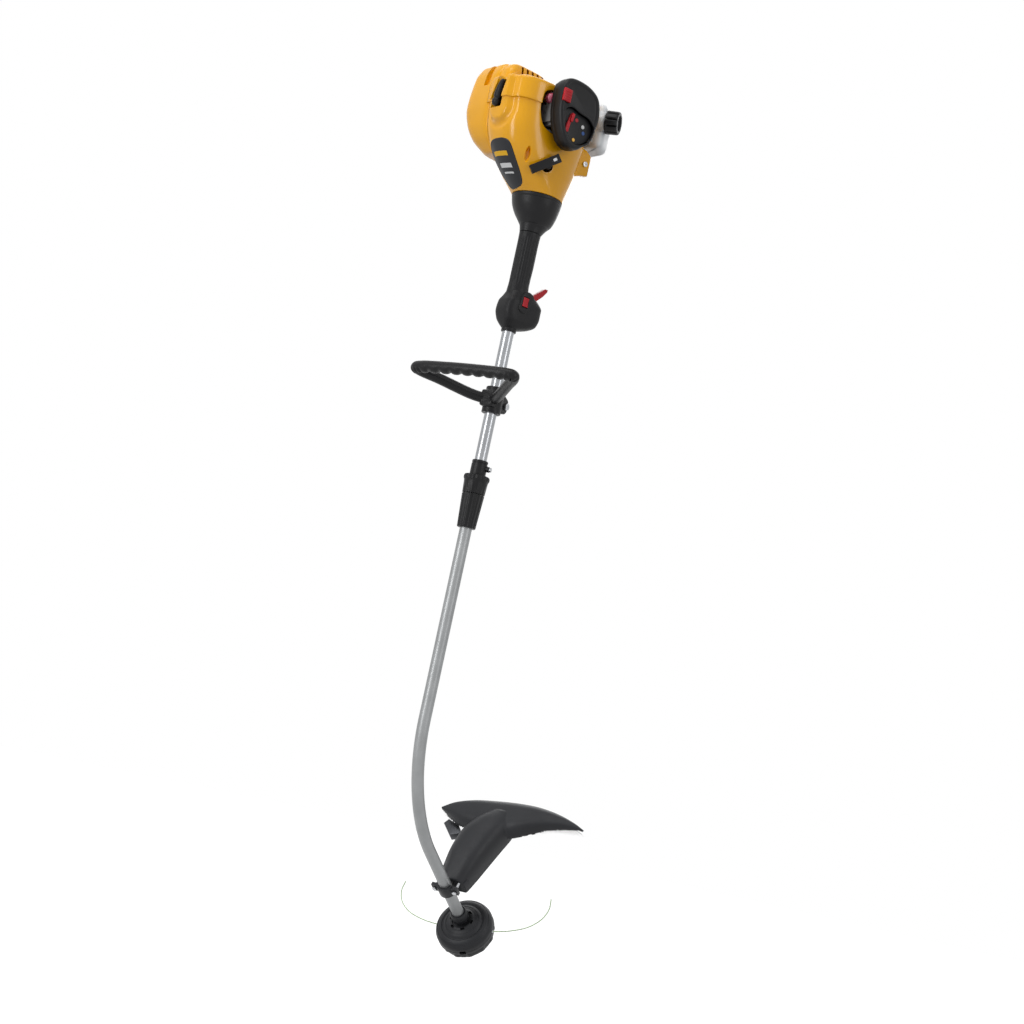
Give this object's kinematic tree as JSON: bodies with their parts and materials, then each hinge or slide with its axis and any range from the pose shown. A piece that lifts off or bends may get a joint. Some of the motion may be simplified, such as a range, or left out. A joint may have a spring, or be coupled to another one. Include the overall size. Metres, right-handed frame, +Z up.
{
  "type": "string trimmer",
  "caption": "Petrol grass trimmer with a curved two-piece shaft, rear engine, loop handle, guard and twin-line head.",
  "frame": {"origin": "on the shaft's axis at the middle of the loop handle's clamp", "axes": "+Z up the straight shaft to the engine; +X the underside of the straight shaft (trigger, fuel tank); -Y the air filter side; the shaft below the coupler bends towards +X turned 25 degrees towards +Y"},
  "size_m": [0.558, 0.4416, 1.6102],
  "materials": {
    "polished_tube": "bright drawn tube",
    "satin_tube": "satin grey painted tube",
    "yellow_shell": "glossy moulded shell",
    "black_plastic": "fine grained moulding",
    "charcoal_plastic": "satin moulding",
    "red_plastic": "glossy moulding",
    "steel": "plated",
    "cast_alloy": "as cast",
    "tank_plastic": "milky translucent moulding",
    "primer_rubber": "clear soft bulb",
    "filter_foam": "open foam",
    "line_nylon": "drawn nylon line",
    "fuel_hose": "soft hose",
    "rope": "braided cord"
  },
  "bodies": {
    "engine": {"upper_tube": "polished_tube", "collar": "black_plastic", "grip_half_left": "black_plastic", "grip_half_right": "black_plastic", "throttle_cable": "black_plastic", "coupler_body": "black_plastic", "coupler_screw": "steel", "shroud": "yellow_shell", "rear_cover": "yellow_shell", "recoil_spring": "steel", "starter_plate": "cast_alloy", "crankcase": "cast_alloy", "cylinder": "cast_alloy", "piston": "cast_alloy", "connecting_rod": "steel", "spark_plug": "steel", "ignition_module": "black_plastic", "muffler": "cast_alloy", "carburettor": "cast_alloy", "filter_base": "black_plastic", "foam_filter": "filter_foam", "fuel_tank": "tank_plastic", "fuel_line": "fuel_hose", "lug_screw": "steel", "badge": "charcoal_plastic"},
    "crank": {"flywheel": "cast_alloy", "crankshaft": "steel", "drive_cable_upper": "steel"},
    "recoil_pulley": {"starter_pulley": "charcoal_plastic", "starter_rope": "rope"},
    "pull_handle": {"starter_handle": "black_plastic"},
    "trigger": {"throttle_trigger": "red_plastic"},
    "switch": {"stop_switch": "red_plastic"},
    "choke": {"choke_lever": "red_plastic"},
    "primer": {"primer_bulb": "primer_rubber"},
    "cap": {"fuel_cap": "black_plastic"},
    "air_cover": {"filter_cover": "black_plastic"},
    "latch": {"latch_button": "red_plastic"},
    "nut": {"coupler_nut": "black_plastic"},
    "tool": {"tool_bar": "black_plastic"},
    "loop": {"loop_handle": "black_plastic", "handle_bolt": "steel"},
    "lower_shaft": {"lower_tube": "satin_tube", "drive_cable_lower": "steel", "tube_end_cap": "black_plastic", "guard": "charcoal_plastic", "guard_clamp": "charcoal_plastic", "guard_bolt_left": "steel", "guard_bolt_right": "steel", "line_cutter": "steel"},
    "head": {"head_arbor": "steel", "head_housing": "charcoal_plastic", "head_cover": "charcoal_plastic", "eyelet_left": "steel", "eyelet_right": "steel", "cutting_line_left": "line_nylon", "cutting_line_right": "line_nylon"},
    "knob": {"bump_knob": "charcoal_plastic", "spool": "charcoal_plastic", "spool_spring": "steel"}
  },
  "joints": [
    {"name": "crank_spin", "type": "hinge", "parent": "engine", "child": "crank", "pos_m": [0, 0, 0.46], "axis": [0, 0, 1], "continuous": true},
    {"name": "head_spin", "type": "hinge", "parent": "lower_shaft", "child": "head", "pos_m": [0.26935, 0.1256, -0.91715], "axis": [-0.7686, -0.3584, 0.5299], "continuous": true},
    {"name": "starter_pull", "type": "slide", "parent": "engine", "child": "pull_handle", "axis": [-0.1499, -0.2499, 0.9566], "range_m": [0, 0.6], "stiffness_N_per_m": 20, "springref_m": -0.2},
    {"name": "pulley_turn", "type": "hinge", "parent": "engine", "child": "recoil_pulley", "pos_m": [0, 0, 0.428], "axis": [0, 0, 1], "range_deg": [0, 1600]},
    {"name": "throttle_squeeze", "type": "hinge", "parent": "engine", "child": "trigger", "pos_m": [0.023, 0, 0.188], "axis": [0, -1, 0], "range_deg": [0, 22], "stiffness_Nm_per_rad": 0.5, "springref_deg": -17.19},
    {"name": "stop_rock", "type": "hinge", "parent": "engine", "child": "switch", "pos_m": [0.004, -0.025, 0.186], "axis": [1, 0, 0], "range_deg": [-8, 8]},
    {"name": "choke_turn", "type": "hinge", "parent": "engine", "child": "choke", "pos_m": [-0.044, -0.1, 0.491], "axis": [0, 1, 0], "range_deg": [0, 60]},
    {"name": "primer_press", "type": "slide", "parent": "engine", "child": "primer", "axis": [1, 0, 0], "range_m": [0, 0.004], "stiffness_N_per_m": 600},
    {"name": "cap_lift", "type": "slide", "parent": "engine", "child": "cap", "axis": [0.5948, -0.8039, 0], "range_m": [0, 0.04]},
    {"name": "cover_off", "type": "slide", "parent": "engine", "child": "air_cover", "axis": [0, -1, 0], "range_m": [0, 0.06]},
    {"name": "latch_press", "type": "slide", "parent": "air_cover", "child": "latch", "axis": [0, 1, 0], "range_m": [0, 0.0025], "stiffness_N_per_m": 400},
    {"name": "nut_turn", "type": "hinge", "parent": "engine", "child": "nut", "pos_m": [0, 0, -0.19], "axis": [0, 0, 1], "range_deg": [0, 270]},
    {"name": "tool_out", "type": "slide", "parent": "engine", "child": "tool", "axis": [-0.465, -0.8743, -0.1391], "range_m": [0, 0.03]},
    {"name": "loop_adjust", "type": "slide", "parent": "engine", "child": "loop", "axis": [0, 0, 1], "range_m": [-0.05, 0.06]},
    {"name": "shaft_out", "type": "slide", "parent": "engine", "child": "lower_shaft", "axis": [0, 0, -1], "range_m": [0, 0.07]},
    {"name": "knob_bump", "type": "slide", "parent": "head", "child": "knob", "axis": [-0.7686, -0.3584, 0.5299], "range_m": [0, 0.004], "stiffness_N_per_m": 2500}
  ],
  "couplings": [
    {"joint": "head_spin", "follows": "crank_spin", "ratio": 1},
    {"joint": "pulley_turn", "follows": "starter_pull", "rad_per_m": 45.455}
  ]
}
